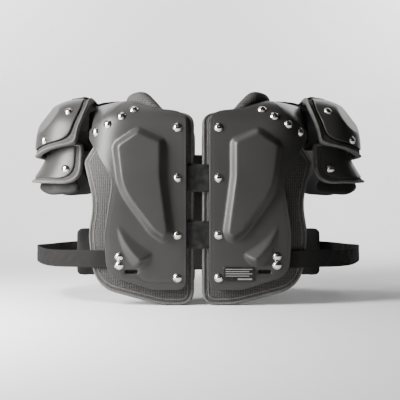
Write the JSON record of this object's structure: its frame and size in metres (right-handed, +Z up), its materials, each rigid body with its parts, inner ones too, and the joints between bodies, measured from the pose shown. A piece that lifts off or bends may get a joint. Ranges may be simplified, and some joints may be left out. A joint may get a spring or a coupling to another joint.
{
  "type": "shoulder pads",
  "caption": "Pair of hinged shoulder-pad halves with moulded chest and back plates over fabric padding, swinging shoulder cups, riveted chest straps and looped side straps.",
  "frame": {"origin": "centre of the bounding box on the surface that the pads stand on", "axes": "+X to the wearer's left, -Y to the wearer's front, +Z up"},
  "size_m": [0.511, 0.288, 0.3091],
  "materials": {
    "shell_plastic": "satin graphite-black moulded plastic with a fine grain",
    "rivet_nickel": "polished nickel",
    "mesh_fabric": "grey air mesh",
    "border_fabric": "lighter grey woven binding",
    "black_fabric": "black quilted nylon",
    "strap_leather": "black coated strap",
    "elastic_webbing": "ribbed elastic webbing",
    "label_film": "blank satin film"
  },
  "bodies": {
    "left_half": {"label_panel": "label_film", "left_back_body_pad": "mesh_fabric", "left_back_inner_rivets": "rivet_nickel", "left_back_plate": "shell_plastic", "left_back_shoulder_rivets": "rivet_nickel", "left_collar_roll": "border_fabric", "left_cup_hinge_strap": "elastic_webbing", "left_front_body_pad": "mesh_fabric", "left_front_inner_rivets": "rivet_nickel", "left_front_plate": "shell_plastic", "left_front_shoulder_rivets": "rivet_nickel", "left_front_strap_rivets": "rivet_nickel", "left_lower_back_strap": "strap_leather", "left_shoulder_arch": "shell_plastic", "left_shoulder_pad": "black_fabric", "left_side_strap_anchor": "elastic_webbing", "left_side_wing_pad": "black_fabric", "left_upper_back_strap": "strap_leather", "lower_chest_strap": "strap_leather", "spine_pad": "black_fabric", "upper_chest_strap": "strap_leather"},
    "left_upper_cup": {"left_cup_link_strap": "elastic_webbing", "left_deltoid_pad": "black_fabric", "left_upper_cup_back_rivets": "rivet_nickel", "left_upper_cup_front_rivets": "rivet_nickel", "left_upper_cup_pad": "border_fabric", "left_upper_cup_shell": "shell_plastic"},
    "left_lower_cup": {"left_lower_cup_front_rivet": "rivet_nickel", "left_lower_cup_pad": "border_fabric", "left_lower_cup_shell": "shell_plastic"},
    "left_strap": {"left_side_strap": "elastic_webbing", "left_strap_hook": "rivet_nickel"},
    "right_half": {"right_back_body_pad": "mesh_fabric", "right_back_inner_rivets": "rivet_nickel", "right_back_plate": "shell_plastic", "right_back_shoulder_rivets": "rivet_nickel", "right_collar_roll": "border_fabric", "right_cup_hinge_strap": "elastic_webbing", "right_front_body_pad": "mesh_fabric", "right_front_inner_rivets": "rivet_nickel", "right_front_plate": "shell_plastic", "right_front_shoulder_rivets": "rivet_nickel", "right_front_strap_rivets": "rivet_nickel", "right_lower_back_strap": "strap_leather", "right_shoulder_arch": "shell_plastic", "right_shoulder_pad": "black_fabric", "right_side_strap_anchor": "elastic_webbing", "right_side_wing_pad": "black_fabric", "right_upper_back_strap": "strap_leather"},
    "right_upper_cup": {"right_cup_link_strap": "elastic_webbing", "right_deltoid_pad": "black_fabric", "right_upper_cup_back_rivets": "rivet_nickel", "right_upper_cup_front_rivets": "rivet_nickel", "right_upper_cup_pad": "border_fabric", "right_upper_cup_shell": "shell_plastic"},
    "right_lower_cup": {"right_lower_cup_front_rivet": "rivet_nickel", "right_lower_cup_pad": "border_fabric", "right_lower_cup_shell": "shell_plastic"},
    "right_strap": {"right_side_strap": "elastic_webbing", "right_strap_hook": "rivet_nickel"}
  },
  "joints": [
    {"name": "half_opening", "type": "hinge", "parent": "left_half", "child": "right_half", "pos_m": [0, 0.1285, 0.14], "axis": [0, 0, -1], "range_deg": [0, 6], "stiffness_Nm_per_rad": 2, "deforming": ["upper_chest_strap", "lower_chest_strap"]},
    {"name": "left_upper_cup_swing", "type": "hinge", "parent": "left_half", "child": "left_upper_cup", "pos_m": [0.163, 0, 0.296], "axis": [0, -1, 0], "range_deg": [0, 60]},
    {"name": "left_lower_cup_swing", "type": "hinge", "parent": "left_upper_cup", "child": "left_lower_cup", "pos_m": [0.222, 0, 0.228], "axis": [0, -1, 0], "range_deg": [0, 6]},
    {"name": "left_side_strap_swing", "type": "hinge", "parent": "left_half", "child": "left_strap", "pos_m": [0.1332, -0.1267, 0.0655], "axis": [0, 0, -1], "range_deg": [0, 35]},
    {"name": "right_upper_cup_swing", "type": "hinge", "parent": "right_half", "child": "right_upper_cup", "pos_m": [-0.163, 0, 0.296], "axis": [0, 1, 0], "range_deg": [0, 60]},
    {"name": "right_lower_cup_swing", "type": "hinge", "parent": "right_upper_cup", "child": "right_lower_cup", "pos_m": [-0.222, 0, 0.228], "axis": [0, 1, 0], "range_deg": [0, 6]},
    {"name": "right_side_strap_swing", "type": "hinge", "parent": "right_half", "child": "right_strap", "pos_m": [-0.1332, -0.1267, 0.0655], "axis": [0, 0, 1], "range_deg": [0, 35]}
  ]
}
